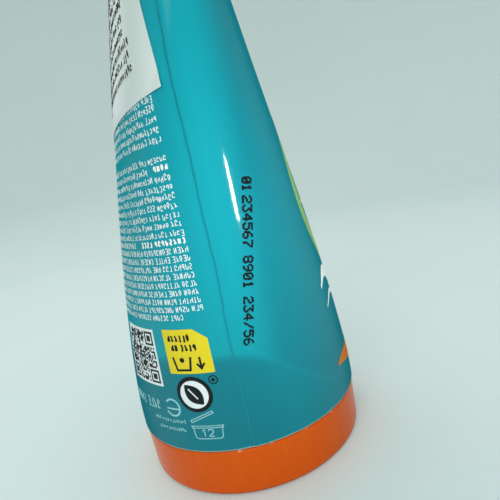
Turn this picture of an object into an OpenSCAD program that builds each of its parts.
// Plump squeeze tube of sun lotion, standing on a low press-on cap with an inset flip lid.
// The rim of the cap stands on the plane z = 0, and the tube's end seal runs along X at the top.
// The front panel faces -Y, the back panel with the paper label faces +Y.

/* [Sleeve] */
// Outside diameter of the round end of the sleeve
sleeve_d = 60; // [54:1:70]
// Length from the round end to the end seal
sleeve_l = 144; // [100:1:200]
// Thickness of the laminate wall
sleeve_t = 0.6; // [0.4:0.05:1]
// How plump the filled sleeve stays, where 1 is a straight taper
plumpness = 1.42; // [1:0.02:2]
// Height of the welded end seal
seal_h = 8; // [4:0.5:14]
// Thickness of the seal's ends, as a share of its middle
seal_edge = 0.7; // [0.5:0.05:0.9]
// How far below the seal the inside of the sleeve ends
cavity_end = 1.6; // [1:0.2:6]

/* [Shoulder and neck] */
// Thickness of the shoulder plate and its weld ring
shoulder_t = 1.4; // [1:0.1:2.5]
// Length of the weld ring inside the sleeve
weld_h = 3.5; // [2:0.5:8]
// Fall of the shoulder from the sleeve to the neck
shoulder_fall = 1.3; // [0.5:0.1:2]
// Outside radius of the neck
neck_r = 13; // [9:0.5:15]
// Thickness of the neck wall
neck_t = 2; // [1.2:0.1:3]
// How far the snap bead stands out of the neck
bead_out = 0.7; // [0.3:0.1:1]
// Height of the snap bead
bead_h = 1.2; // [0.8:0.1:1.6]

/* [Cap] */
// Height of the cap
cap_h = 11.6; // [11:0.1:16]
// How far the cap's top edge stands inside the sleeve's outside
cap_inset = 0.25; // [0:0.05:1]
// Draft of the skirt, from its top edge to its foot
cap_draft = 0.35; // [0:0.05:1]
// Radius of the rounded foot of the skirt
foot_r = 1.2; // [0.4:0.1:1.4]
// Radius of the skirt's rounded top edge
rim_r = 0.5; // [0.2:0.1:0.8]
// Thickness of the skirt
skirt_t = 1.5; // [1.2:0.1:2.2]
// Thickness of the deck
deck_t = 1.5; // [1:0.1:2]
// Thickness of the collar round the neck
collar_t = 1.25; // [0.8:0.05:2]
// Number of ribs between collar and skirt
rib_count = 8; // [4:1:12]
// Thickness of a rib
rib_t = 1; // [0.6:0.1:1.6]
// Height of a rib over the deck
rib_h = 3; // [1:0.5:4]
// Radius of the hole that the lotion leaves by
spout_r = 2.5; // [1.5:0.1:4]
// Thickness of the spout wall
spout_t = 2; // [1:0.1:3]
// Thickness of the sealing ring inside the neck
seal_ring_t = 0.9; // [0.6:0.1:1.4]
// Height of the sealing ring over the deck
seal_ring_h = 2.5; // [1:0.1:4]

/* [Flip lid] */
// Height of the lid's edge wall, with the plate
lid_h = 2.6; // [2.2:0.1:3]
// Thickness of the lid's plate
lid_t = 1.2; // [0.8:0.1:1.6]
// Thickness of the lid's edge wall
lid_wall = 1.2; // [0.8:0.1:2]
// How far the lid's outside lies above the foot of the cap
lid_recess = 0.3; // [0.2:0.05:0.6]
// Distance of the hinge line from the wall of the recess behind it
hinge_inset = 5.6; // [5:0.1:7]
// How much the rear edge is shortened at each rounded corner
corner_trim = 2.9; // [2.5:0.1:4]
// How far the plug pin reaches past the deck's outside
plug_reach = 1; // [0.6:0.1:1.4]
// How much smaller the plug pin's radius is at its tip
plug_taper = 0.5; // [0.3:0.1:1]
// Bevel round the plug pin's tip
plug_bevel = 0.4; // [0.2:0.1:0.6]
// Gap between the nozzle and the guard ring round it
guard_gap = 1; // [0.6:0.1:2]
// Thickness of the guard ring
guard_t = 1; // [0.6:0.1:1.5]
// Height of the guard ring over the lid's plate
guard_h = 1.2; // [0.6:0.1:1.4]
// Thickness of the film straps
film_t = 0.3; // [0.2:0.05:0.4]
// Width of the middle strap
film_mid_w = 9; // [6:0.5:10]
// Width of each outer strap
film_side_w = 6.5; // [4:0.5:6.5]
// Distance of an outer strap from the end of the lid's rear edge
film_side_in = 0.4; // [0.2:0.1:0.8]
// How far a strap laps onto the lid and onto the cap
film_lap = 0.9; // [0.6:0.1:1.6]

/* [Thumb notch] */
// Width of the notch in the front of the skirt
notch_w = 18; // [14:0.5:22]
// Height of the notch over the foot of the cap
notch_h = 7.7; // [7.6:0.1:8]
// Depth of the notch, from the foot of the skirt inwards
notch_depth = 4.8; // [4.6:0.1:6]
// Radius of the notch's upper corners
notch_corner_r = 2; // [1:0.5:3]
// Thickness of the wall behind the notch
notch_wall = 1.1; // [0.8:0.1:1.5]
// Thickness of the lid's thumb tab
tab_t = 1.5; // [1.2:0.1:1.8]
// Gap between the thumb tab and each side of the notch
tab_side_gap = 1; // [0.5:0.1:2]

/* [Paper label] */
// Width of the label
label_w = 52; // [30:1:60]
// Height of the label
label_h = 38; // [20:1:50]
// Thickness of the label
label_t = 0.15; // [0.1:0.05:0.3]
// Distance along the sleeve from its narrow edge to the label's lower corner
label_edge = 7.3; // [4:0.1:15]
// Distance of the label's lower corner below the end seal
label_drop = 67.7; // [60:0.1:90]
// How far the label is stuck on askew, in degrees
label_askew = 5.2; // [-8:0.1:8]

/* [Lotion] */
// Length of the sleeve between the lotion's surface and the end seal
headspace = 37; // [20:1:70]

/* [Fits] */
// Gap between pieces that lie close without touching
seat_gap = 0.3; // [0.2:0.05:0.4]
// Gap between the sleeve and the shoulder welded into it
weld_gap = 0.05; // [0.04:0.01:0.1]
// Gap between the neck and the collar that snaps over it
snap_gap = 0.15; // [0.1:0.01:0.2]
// Gap between the plug pin and the spout
plug_gap = 0.1; // [0.05:0.01:0.2]
// Gap round the film straps in their grooves
film_gap = 0.1; // [0.05:0.01:0.15]
// Gap between the lotion and the walls that hold it
fill_gap = 0.15; // [0.1:0.01:0.3]
// Gap under the label
label_gap = 0.1; // [0.08:0.01:0.2]

/* [Hidden] */
$fn = 96;

// Heights, from the foot of the cap upwards
lid_top = lid_recess + lid_h;
deck_low = lid_top + seat_gap;
deck_top = deck_low + deck_t;
neck_low = deck_top + seat_gap;
sleeve_low = cap_h + seat_gap;
shoulder_low = sleeve_low - shoulder_fall;
collar_top = shoulder_low - seat_gap;

// Radii of the cap and of what fits into it
sleeve_r = sleeve_d / 2;
cap_top_r = sleeve_r - cap_inset;
cap_foot_r = cap_top_r - cap_draft;
recess_r = cap_foot_r - skirt_t - seat_gap;
skirt_in_r = cap_top_r - skirt_t;
lid_r = recess_r - seat_gap;
neck_bore_r = neck_r - neck_t;

// Snap fit of the neck in the collar
bead_low = neck_low + 1.2;
collar_bead_low = bead_low + bead_h + snap_gap;
collar_bore_r = neck_r + bead_out + snap_gap;
collar_r = collar_bore_r + collar_t;

// Hinge line, the lid's rear edge in front of it and the cap's land behind it
hinge_y = recess_r - hinge_inset;
lid_rear_y = hinge_y - 0.35;
land_y = hinge_y + 0.4;
land_low = lid_recess + 0.2;
land_step_t = 1.2;
film_low = lid_recess;

// Rear edge of the lid, and the wide arc that rounds off its corners
rear_half = sqrt(pow(lid_r, 2) - pow(lid_rear_y, 2)) - corner_trim;
corner_arc_y = -10;
corner_arc_r = norm([rear_half, lid_rear_y - corner_arc_y]);
film_side_x = rear_half - film_side_in - film_side_w / 2;

// How far shapes of one piece reach into each other
merge = 0.3;

// Thumb notch
notch_y = cap_foot_r - notch_depth;
tab_w = notch_w - 2 * tab_side_gap;
tab_r = cap_foot_r - seat_gap;
tab_root = 5;

// Label and lotion, over the round end of the sleeve
label_low = sleeve_l - label_drop;
fill_h = sleeve_l - headspace;

// Rings of the sleeve's surface
sleeve_sides = 96;
sleeve_rings = 16;
lotion_sides = 48;
lotion_rings = 10;
girth = 2 * PI * sleeve_r;

// Circumference of an ellipse with half axes a and b
function ellipse_girth(a, b) = PI * (3 * (a + b) - sqrt((3 * a + b) * (a + 3 * b)));

// Half width that keeps the sleeve's circumference where its half depth is b
function width_between(low, high, b, steps) =
    let (mid = (low + high) / 2)
    steps == 0 ? mid
    : ellipse_girth(mid, b) > girth ? width_between(low, mid, b, steps - 1)
    : width_between(mid, high, b, steps - 1);
function half_width(b) = width_between(sleeve_r * 0.99, sleeve_r * 1.6, b, 24);

// Half depth of the sleeve at height z over its round end, which the weld ring keeps round
function flattened(z) = pow(max(0, min((z - weld_h) / (sleeve_l - weld_h), 1)), plumpness);
function half_depth(z) = sleeve_t + (sleeve_r - sleeve_t) * (1 - flattened(z));

// Thickness that is left at the folds, and a point's distance from the plane through the folds
function fold_at(z) = seal_edge * sleeve_t * flattened(z);
function off_plane(b, fold, s) = sign(s) * (fold + (b - fold) * abs(s));

// Ring of points on the sleeve's outside, or inset from it
function sleeve_ring(z, inset, sides) =
    let (b = half_depth(z), a = half_width(b), fold = inset > 0 ? 0 : fold_at(z))
    [for (i = [0:sides - 1])
        let (angle = 360 * (i + 0.5) / sides)
        [(a - inset) * cos(angle), off_plane(b - inset, fold, sin(angle)), sleeve_low + z]];

// Heights of the rings, from the round end to height top, with one at the end of the weld ring
function ring_heights(top) =
    concat([0], [for (k = [0:sleeve_rings]) weld_h + (top - weld_h) * k / sleeve_rings]);

function round_ring(r, z, sides) =
    [for (i = [0:sides - 1]) let (angle = 360 * (i + 0.5) / sides) [r * cos(angle), r * sin(angle), z]];

// Faces between the rings of a stack, ring by ring, seen from outside
function band_faces(first, last, sides) =
    [for (k = [first:last - 1], i = [0:sides - 1])
        let (j = (i + 1) % sides)
        each [[k * sides + i, (k + 1) * sides + i, (k + 1) * sides + j],
              [k * sides + i, (k + 1) * sides + j, k * sides + j]]];
function ring_face(k, sides) = [for (i = [0:sides - 1]) k * sides + i];
function reversed(list) = [for (i = [len(list) - 1:-1:0]) list[i]];
function flat(lists) = [for (list = lists) each list];

// Closed solid through a stack of rings, lowest ring first
module ring_stack(rings) {
    sides = len(rings[0]);
    last = len(rings) - 1;
    polyhedron(points = flat(rings),
               faces = concat(band_faces(0, last, sides), [ring_face(0, sides)],
                              [reversed(ring_face(last, sides))]));
}

// Distance along the sleeve's back from its narrow edge at -X, against the angle round its ellipse
function back_arc(a, b) =
    let (step = 3)
    [for (angle = 180, s = 0; angle >= 0;
          s = s + norm([a * (cos(angle) - cos(angle - step)), b * (sin(angle) - sin(angle - step))]),
          angle = angle - step)
        [s, angle]];

// Point over the sleeve's back, at distance s from the narrow edge and height z over the round end
function back_point(s, z, out) =
    let (b = half_depth(z), a = half_width(b), angle = lookup(s, back_arc(a, b)),
         across = [cos(angle) / a, sin(angle) / b], normal = across / norm(across))
    [a * cos(angle) + out * normal[0], off_plane(b, fold_at(z), sin(angle)) + out * normal[1],
     sleeve_low + z];

module tube_sleeve() {
    // One stack of rings: down the inside from the seal, then up the outside to the seal's top
    outer = [for (z = ring_heights(sleeve_l)) sleeve_ring(z, 0, sleeve_sides)];
    seal_top = sleeve_ring(sleeve_l + seal_h, 0, sleeve_sides);
    inner = [for (z = reversed(ring_heights(sleeve_l - cavity_end)))
        sleeve_ring(z, sleeve_t, sleeve_sides)];
    color([0.1, 0.62, 0.68]) ring_stack(concat(inner, outer, [seal_top]));
}

module tube_shoulder() {
    weld_r = sleeve_r - sleeve_t - weld_gap;
    color([0.93, 0.93, 0.9]) rotate_extrude()
        polygon([
            [neck_bore_r, neck_low],
            [neck_r, neck_low],
            [neck_r, bead_low],
            [neck_r + bead_out, bead_low + bead_h / 2],
            [neck_r + bead_out, bead_low + bead_h],
            [neck_r, bead_low + bead_h],
            [neck_r, shoulder_low],
            [weld_r, sleeve_low],
            [weld_r, sleeve_low + weld_h],
            [weld_r - shoulder_t, sleeve_low + weld_h],
            [weld_r - shoulder_t, sleeve_low + shoulder_t],
            [neck_bore_r, shoulder_low + shoulder_t]
        ]);
}

// Outline of the cap's skirt, with its rounded foot and rim
module skirt_outline() {
    foot = [for (angle = [-90:15:0])
        [cap_foot_r - foot_r + foot_r * cos(angle), foot_r + foot_r * sin(angle)]];
    rim = [for (angle = [0:22.5:90])
        [cap_top_r - rim_r + rim_r * cos(angle), cap_h - rim_r + rim_r * sin(angle)]];
    polygon(concat([[recess_r, 0]], foot, rim,
                   [[skirt_in_r, cap_h], [skirt_in_r, deck_top], [recess_r, deck_top]]));
}

// Collar that snaps over the neck's bead
module collar_outline() {
    polygon([
        [collar_bore_r, deck_low],
        [collar_r, deck_low],
        [collar_r, collar_top],
        [collar_bore_r, collar_top],
        [neck_r + snap_gap, collar_bead_low + bead_h / 2],
        [neck_r + snap_gap, collar_bead_low],
        [collar_bore_r, collar_bead_low]
    ]);
}

// Ring on the deck that seals the neck's bore
module seal_ring_outline() {
    seal_ring_r = neck_bore_r - snap_gap;
    translate([seal_ring_r - seal_ring_t, deck_low]) square([seal_ring_t, deck_t + seal_ring_h]);
}

// Slice of the cap's disc in front of y1 and behind y0
module disc_slice(r, y0, y1, low, high) {
    intersection() {
        translate([0, 0, low]) cylinder(r = r, h = high - low);
        translate([-r, y0, low]) cube([2 * r, y1 - y0, high - low]);
    }
}

// Opening of the thumb notch, seen from the front, with rounded upper corners
module notch_opening(width, height, corner) {
    translate([-width / 2, -1]) square([width, height - corner + 1]);
    translate([-width / 2 + corner, 0]) square([width - 2 * corner, height]);
    for (side = [-1, 1])
        translate([side * (width / 2 - corner), height - corner]) circle(r = corner);
}

// Block of the notch, from y = -reach to y = -inner
module notch_block(width, height, corner, inner, reach) {
    translate([0, -inner, 0]) rotate([90, 0, 0])
        linear_extrude(height = reach - inner) notch_opening(width, height, corner);
}

// The film straps, each grown by gap on every side
module straps(gap) {
    for (strap = [[-film_side_x, film_side_w], [0, film_mid_w], [film_side_x, film_side_w]])
        translate([strap[0] - strap[1] / 2 - gap, lid_rear_y - film_lap - gap, film_low - gap])
            cube([strap[1] + 2 * gap, land_y - lid_rear_y + 2 * (film_lap + gap), film_t + 2 * gap]);
}

module cap_body() {
    nozzle_low = lid_recess + lid_t + seat_gap;
    nozzle_r = spout_r + spout_t;
    color([0.86, 0.36, 0.06]) difference() {
        union() {
            rotate_extrude() {
                skirt_outline();
                collar_outline();
                seal_ring_outline();
            }
            // Deck, step down to the land behind the hinge, and the land itself
            disc_slice(skirt_in_r, -skirt_in_r, land_y + land_step_t, deck_low, deck_top);
            disc_slice(skirt_in_r, land_y, land_y + land_step_t, land_low, deck_top);
            disc_slice(skirt_in_r, land_y, skirt_in_r, land_low, land_low + deck_t);
            // Nozzle on the deck's outside
            translate([0, 0, nozzle_low]) cylinder(r = nozzle_r, h = deck_top - nozzle_low);
            // Ribs between collar and skirt
            for (i = [0:rib_count - 1])
                rotate([0, 0, 360 * (i + 0.5) / rib_count])
                    translate([collar_r - merge, -rib_t / 2, deck_low])
                        cube([skirt_in_r - collar_r + 2 * merge, rib_t, deck_t + rib_h]);
            // Walls of the thumb notch
            intersection() {
                translate([0, 0, deck_low]) cylinder(r = skirt_in_r + merge, h = cap_h - deck_low);
                notch_block(notch_w + 2 * notch_wall, notch_h + notch_wall, notch_corner_r + notch_wall,
                            notch_y - notch_wall, sleeve_r);
            }
        }
        translate([0, 0, -1]) cylinder(r = spout_r, h = deck_top + 2);
        notch_block(notch_w, notch_h, notch_corner_r, notch_y, sleeve_r + 1);
        straps(film_gap);
    }
}

// The lid's outline, smaller by inset: a disc cut off at the hinge, with its rear corners rounded off
module lid_disc(inset, low, high) {
    intersection() {
        disc_slice(lid_r - inset, -lid_r, lid_rear_y - inset, low, high);
        translate([0, corner_arc_y, low]) cylinder(r = corner_arc_r - inset, h = high - low);
    }
}

module flip_lid() {
    plate_top = lid_recess + lid_t;
    guard_r = spout_r + spout_t + guard_gap;
    plug_r = spout_r - plug_gap;
    tip_z = deck_low + plug_reach;
    color([0.86, 0.36, 0.06]) difference() {
        union() {
            lid_disc(0, lid_recess, plate_top);
            difference() {
                lid_disc(0, lid_recess, lid_top);
                lid_disc(lid_wall, lid_recess - 1, lid_top + 1);
            }
            // Tapered plug pin
            rotate_extrude()
                polygon([[0, lid_recess], [plug_r, lid_recess], [plug_r, plate_top + plug_bevel],
                         [plug_r - plug_taper, tip_z - plug_bevel],
                         [plug_r - plug_taper - plug_bevel, tip_z], [0, tip_z]]);
            // Guard ring round the nozzle
            difference() {
                translate([0, 0, lid_recess]) cylinder(r = guard_r + guard_t, h = lid_t + guard_h);
                translate([0, 0, plate_top]) cylinder(r = guard_r, h = lid_h);
            }
            // Thumb tab that reaches into the notch
            intersection() {
                translate([0, 0, lid_recess]) cylinder(r = tab_r, h = tab_t);
                translate([-tab_w / 2, -tab_r, 0]) cube([tab_w, tab_root, lid_top]);
            }
        }
        straps(film_gap);
    }
}

module living_hinge() {
    color([0.9, 0.4, 0.08]) straps(0);
}

module paper_label() {
    // Grid on the back panel, turned by label_askew about its lower corner near the narrow edge
    across = 40;
    up = 10;
    low_face = [for (j = [0:up], i = [0:across]) label_point(i / across, j / up, label_gap)];
    high_face = [for (j = [0:up], i = [0:across]) label_point(i / across, j / up, label_gap + label_t)];
    row = across + 1;
    count = row * (up + 1);
    back = [for (j = [0:up - 1], i = [0:across - 1])
        let (k = j * row + i) each [[k, k + row + 1, k + 1], [k, k + row, k + row + 1]]];
    edge = concat([for (i = [0:across - 1]) i], [for (j = [0:up - 1]) j * row + across],
                  [for (i = [across:-1:1]) up * row + i], [for (j = [up:-1:1]) j * row]);
    side = [for (k = [0:len(edge) - 1])
        let (p = edge[k], q = edge[(k + 1) % len(edge)])
        each [[p, q + count, p + count], [p, q, q + count]]];
    color([0.85, 0.9, 0.88]) polyhedron(points = concat(low_face, high_face),
        faces = concat(back, [for (f = back) [f[0] + count, f[2] + count, f[1] + count]], side));
}

function label_point(u, v, out) =
    back_point(label_edge + u * label_w * cos(label_askew) + v * label_h * sin(label_askew),
               label_low - u * label_w * sin(label_askew) + v * label_h * cos(label_askew), out);

module lotion_fill() {
    // The lotion stands on the sealing ring and deck, fills the neck and rises in the sleeve
    bore_r = neck_bore_r - fill_gap;
    ring_bore_r = neck_bore_r - snap_gap - seal_ring_t - fill_gap;
    ring_top = deck_top + seal_ring_h + fill_gap;
    shoulder_top = shoulder_low + shoulder_t + fill_gap;
    weld_bore_r = sleeve_r - sleeve_t - weld_gap - shoulder_t - fill_gap;
    weld_top = weld_h + fill_gap;
    low_rings = [
        round_ring(ring_bore_r, deck_top + fill_gap, lotion_sides),
        round_ring(ring_bore_r, ring_top, lotion_sides),
        round_ring(bore_r, ring_top + 0.01, lotion_sides),
        round_ring(bore_r, shoulder_top, lotion_sides),
        round_ring(weld_bore_r, sleeve_low + shoulder_t + fill_gap, lotion_sides),
        round_ring(weld_bore_r, sleeve_low + weld_top, lotion_sides)
    ];
    high_rings = [for (k = [0:lotion_rings])
        sleeve_ring(weld_top + 0.01 + (fill_h - weld_top) * k / lotion_rings, sleeve_t + fill_gap,
                    lotion_sides)];
    color([0.97, 0.96, 0.92]) ring_stack(concat(low_rings, high_rings));
}

tube_sleeve();
tube_shoulder();
cap_body();
flip_lid();
living_hinge();
paper_label();
lotion_fill();
